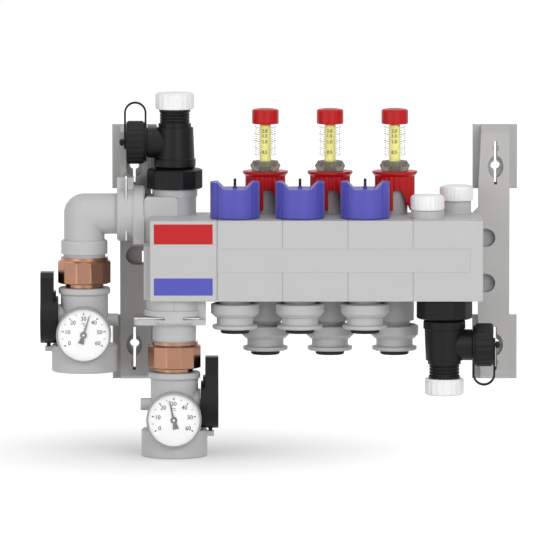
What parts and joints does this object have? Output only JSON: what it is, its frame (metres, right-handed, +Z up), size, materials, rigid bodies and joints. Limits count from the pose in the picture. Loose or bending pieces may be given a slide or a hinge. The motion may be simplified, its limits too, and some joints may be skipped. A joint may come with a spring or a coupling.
{
  "type": "heating manifold",
  "caption": "Wall-mounted moulded heating manifold with flow meters, capped return valves, lever ball valves with dial thermometers, drain valves and air vents.",
  "frame": {"origin": "centre of the four wall screws, in the plane of the wall", "axes": "+X along the wall to the right as seen from the room, +Y into the wall, +Z up"},
  "size_m": [0.3699, 0.1162, 0.2775],
  "materials": {
    "grey_block": "fine satin moulding",
    "bracket_grey": "fine satin moulding",
    "red_label": "satin printed field",
    "blue_label": "satin printed field",
    "blue_cap": "satin moulding",
    "red_wheel": "satin moulding",
    "grey_fitting": "satin moulding",
    "copper_brass": "turned, lightly polished",
    "black_plastic": "satin moulding",
    "white_plastic": "satin moulding",
    "yellow_plastic": "smooth moulding",
    "clear_plastic": "clear",
    "smoked_plastic": "smoked, clear",
    "steel": "drawn",
    "dark_steel": "blackened, turned",
    "black_rubber": "smooth",
    "white_seal": "turned"
  },
  "bodies": {
    "manifold": {"left_end_block": "grey_block", "circuit_module_1": "grey_block", "circuit_module_2": "grey_block", "circuit_module_3": "grey_block", "right_end_block": "grey_block", "cover_strip": "grey_block", "label_plate": "grey_block", "supply_label": "red_label", "return_label": "blue_label", "bracket_left": "bracket_grey", "bracket_right": "bracket_grey", "supply_elbow": "grey_fitting", "supply_tee": "grey_fitting", "return_connector": "grey_fitting", "fork_clips": "steel", "union_nuts": "copper_brass", "tail_pieces": "copper_brass", "ball_valve_supply": "grey_fitting", "ball_valve_return": "grey_fitting", "valve_seats": "white_seal", "thermometer_cases": "grey_fitting", "thermometer_dials": "white_plastic", "thermometer_glasses": "clear_plastic", "drain_nuts": "black_plastic", "drain_body_top": "black_plastic", "drain_body_bottom": "black_plastic", "cap_straps": "black_plastic", "vent_bodies": "grey_fitting", "valve_inserts": "grey_fitting", "flow_inserts": "grey_fitting", "sight_glass_nuts": "smoked_plastic", "sight_glasses": "clear_plastic", "sight_glass_caps": "red_wheel", "outlet_nipples": "grey_fitting", "outlet_cups": "grey_fitting", "outlet_seals": "black_rubber"},
    "valve_stem_1": {"valve_stem_1": "dark_steel"},
    "return_cap_1": {"return_cap_1": "blue_cap"},
    "flow_wheel_1": {"flow_wheel_1": "red_wheel"},
    "flow_float_1": {"flow_float_1": "yellow_plastic"},
    "valve_stem_2": {"valve_stem_2": "dark_steel"},
    "return_cap_2": {"return_cap_2": "blue_cap"},
    "flow_wheel_2": {"flow_wheel_2": "red_wheel"},
    "flow_float_2": {"flow_float_2": "yellow_plastic"},
    "valve_stem_3": {"valve_stem_3": "dark_steel"},
    "return_cap_3": {"return_cap_3": "blue_cap"},
    "flow_wheel_3": {"flow_wheel_3": "red_wheel"},
    "flow_float_3": {"flow_float_3": "yellow_plastic"},
    "lever_supply": {"lever_supply": "black_plastic", "ball_stem_supply": "copper_brass"},
    "lever_return": {"lever_return": "black_plastic", "ball_stem_return": "copper_brass"},
    "pointer_supply": {"pointer_supply": "black_plastic"},
    "pointer_return": {"pointer_return": "black_plastic"},
    "drain_knob_top": {"drain_knob_top": "white_plastic"},
    "drain_knob_bottom": {"drain_knob_bottom": "white_plastic"},
    "hose_cap_top": {"hose_cap_top": "black_plastic"},
    "hose_cap_bottom": {"hose_cap_bottom": "black_plastic"},
    "vent_cap_front": {"vent_cap_front": "white_plastic"},
    "vent_cap_back": {"vent_cap_back": "white_plastic"}
  },
  "joints": [
    {"name": "valve_stem_1_slide", "type": "slide", "parent": "manifold", "child": "valve_stem_1", "axis": [0, 0, -1], "range_m": [0, 0.003]},
    {"name": "return_cap_1_turn", "type": "hinge", "parent": "manifold", "child": "return_cap_1", "pos_m": [-0.0616, -0.083, 0.0344], "axis": [0, 0, 1], "range_deg": [-720, 0]},
    {"name": "flow_wheel_1_turn", "type": "hinge", "parent": "manifold", "child": "flow_wheel_1", "pos_m": [-0.0383, -0.043, 0.0344], "axis": [0, 0, 1], "range_deg": [-720, 0]},
    {"name": "flow_float_1_slide", "type": "slide", "parent": "manifold", "child": "flow_float_1", "axis": [0, 0, 1], "range_m": [-0.025, 0], "stiffness_N_per_m": 40, "springref_m": 0.003},
    {"name": "valve_stem_2_slide", "type": "slide", "parent": "manifold", "child": "valve_stem_2", "axis": [0, 0, -1], "range_m": [0, 0.003]},
    {"name": "return_cap_2_turn", "type": "hinge", "parent": "manifold", "child": "return_cap_2", "pos_m": [-0.0116, -0.083, 0.0344], "axis": [0, 0, 1], "range_deg": [-720, 0]},
    {"name": "flow_wheel_2_turn", "type": "hinge", "parent": "manifold", "child": "flow_wheel_2", "pos_m": [0.0117, -0.043, 0.0344], "axis": [0, 0, 1], "range_deg": [-720, 0]},
    {"name": "flow_float_2_slide", "type": "slide", "parent": "manifold", "child": "flow_float_2", "axis": [0, 0, 1], "range_m": [-0.025, 0], "stiffness_N_per_m": 40, "springref_m": 0.003},
    {"name": "valve_stem_3_slide", "type": "slide", "parent": "manifold", "child": "valve_stem_3", "axis": [0, 0, -1], "range_m": [0, 0.003]},
    {"name": "return_cap_3_turn", "type": "hinge", "parent": "manifold", "child": "return_cap_3", "pos_m": [0.0384, -0.083, 0.0344], "axis": [0, 0, 1], "range_deg": [-720, 0]},
    {"name": "flow_wheel_3_turn", "type": "hinge", "parent": "manifold", "child": "flow_wheel_3", "pos_m": [0.0617, -0.043, 0.0344], "axis": [0, 0, 1], "range_deg": [-720, 0]},
    {"name": "flow_float_3_slide", "type": "slide", "parent": "manifold", "child": "flow_float_3", "axis": [0, 0, 1], "range_m": [-0.025, 0], "stiffness_N_per_m": 40, "springref_m": 0.003},
    {"name": "lever_supply_turn", "type": "hinge", "parent": "manifold", "child": "lever_supply", "pos_m": [-0.1784, -0.043, -0.048], "axis": [1, 0, 0], "range_deg": [0, 90]},
    {"name": "lever_return_turn", "type": "hinge", "parent": "manifold", "child": "lever_return", "pos_m": [-0.1083, -0.083, -0.1094], "axis": [1, 0, 0], "range_deg": [0, 90]},
    {"name": "pointer_supply_turn", "type": "hinge", "parent": "manifold", "child": "pointer_supply", "pos_m": [-0.1784, -0.043, -0.0571], "axis": [0, 1, 0], "range_deg": [-137, 103], "stiffness_Nm_per_rad": 0.0001},
    {"name": "pointer_return_turn", "type": "hinge", "parent": "manifold", "child": "pointer_return", "pos_m": [-0.1083, -0.083, -0.1185], "axis": [0, 1, 0], "range_deg": [-107.4, 132.6], "stiffness_Nm_per_rad": 0.0001},
    {"name": "drain_knob_top_turn", "type": "hinge", "parent": "manifold", "child": "drain_knob_top", "pos_m": [-0.1083, -0.043, 0.11], "axis": [0, 0, 1], "range_deg": [0, 720]},
    {"name": "drain_knob_bottom_turn", "type": "hinge", "parent": "manifold", "child": "drain_knob_bottom", "pos_m": [0.0995, -0.083, -0.085], "axis": [0, 0, -1], "range_deg": [0, 720]},
    {"name": "hose_cap_top_turn", "type": "hinge", "parent": "manifold", "child": "hose_cap_top", "pos_m": [-0.138, -0.043, 0.0897], "axis": [-1, 0, 0], "range_deg": [0, 720]},
    {"name": "hose_cap_bottom_turn", "type": "hinge", "parent": "manifold", "child": "hose_cap_bottom", "pos_m": [0.13, -0.083, -0.0634], "axis": [1, 0, 0], "range_deg": [0, 720]},
    {"name": "vent_cap_front_turn", "type": "hinge", "parent": "manifold", "child": "vent_cap_front", "pos_m": [0.0864, -0.083, 0.041], "axis": [0, 0, 1], "range_deg": [0, 720]},
    {"name": "vent_cap_back_turn", "type": "hinge", "parent": "manifold", "child": "vent_cap_back", "pos_m": [0.1094, -0.043, 0.045], "axis": [0, 0, 1], "range_deg": [0, 720]}
  ],
  "couplings": [
    {"joint": "return_cap_1_turn", "follows": "valve_stem_1_slide", "rad_per_m": -4188},
    {"joint": "return_cap_2_turn", "follows": "valve_stem_2_slide", "rad_per_m": -4188},
    {"joint": "return_cap_3_turn", "follows": "valve_stem_3_slide", "rad_per_m": -4188}
  ]
}
